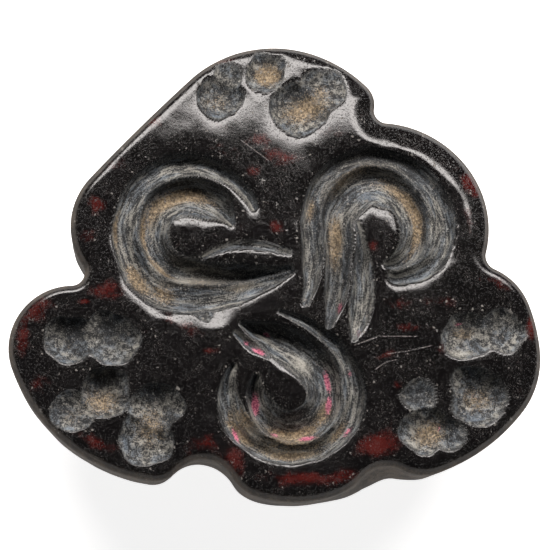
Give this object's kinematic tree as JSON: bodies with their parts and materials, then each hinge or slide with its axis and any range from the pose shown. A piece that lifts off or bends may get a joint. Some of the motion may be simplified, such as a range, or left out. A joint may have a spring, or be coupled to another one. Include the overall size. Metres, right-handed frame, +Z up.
{
  "type": "stamp seal",
  "caption": "Lobed black stone stamp seal with hooked double grooves and drilled pits on its face and a low pierced lug on its back.",
  "frame": {"origin": "centre of the lug's flat underside, on which the seal rests face up", "axes": "+X across the seal's width, +Y towards its single top lobe, +Z up out of the carved face"},
  "size_m": [0.0382, 0.0334, 0.0135],
  "materials": {
    "seal": "gloss"
  },
  "bodies": {
    "root": {"seal": "seal"}
  },
  "joints": []
}
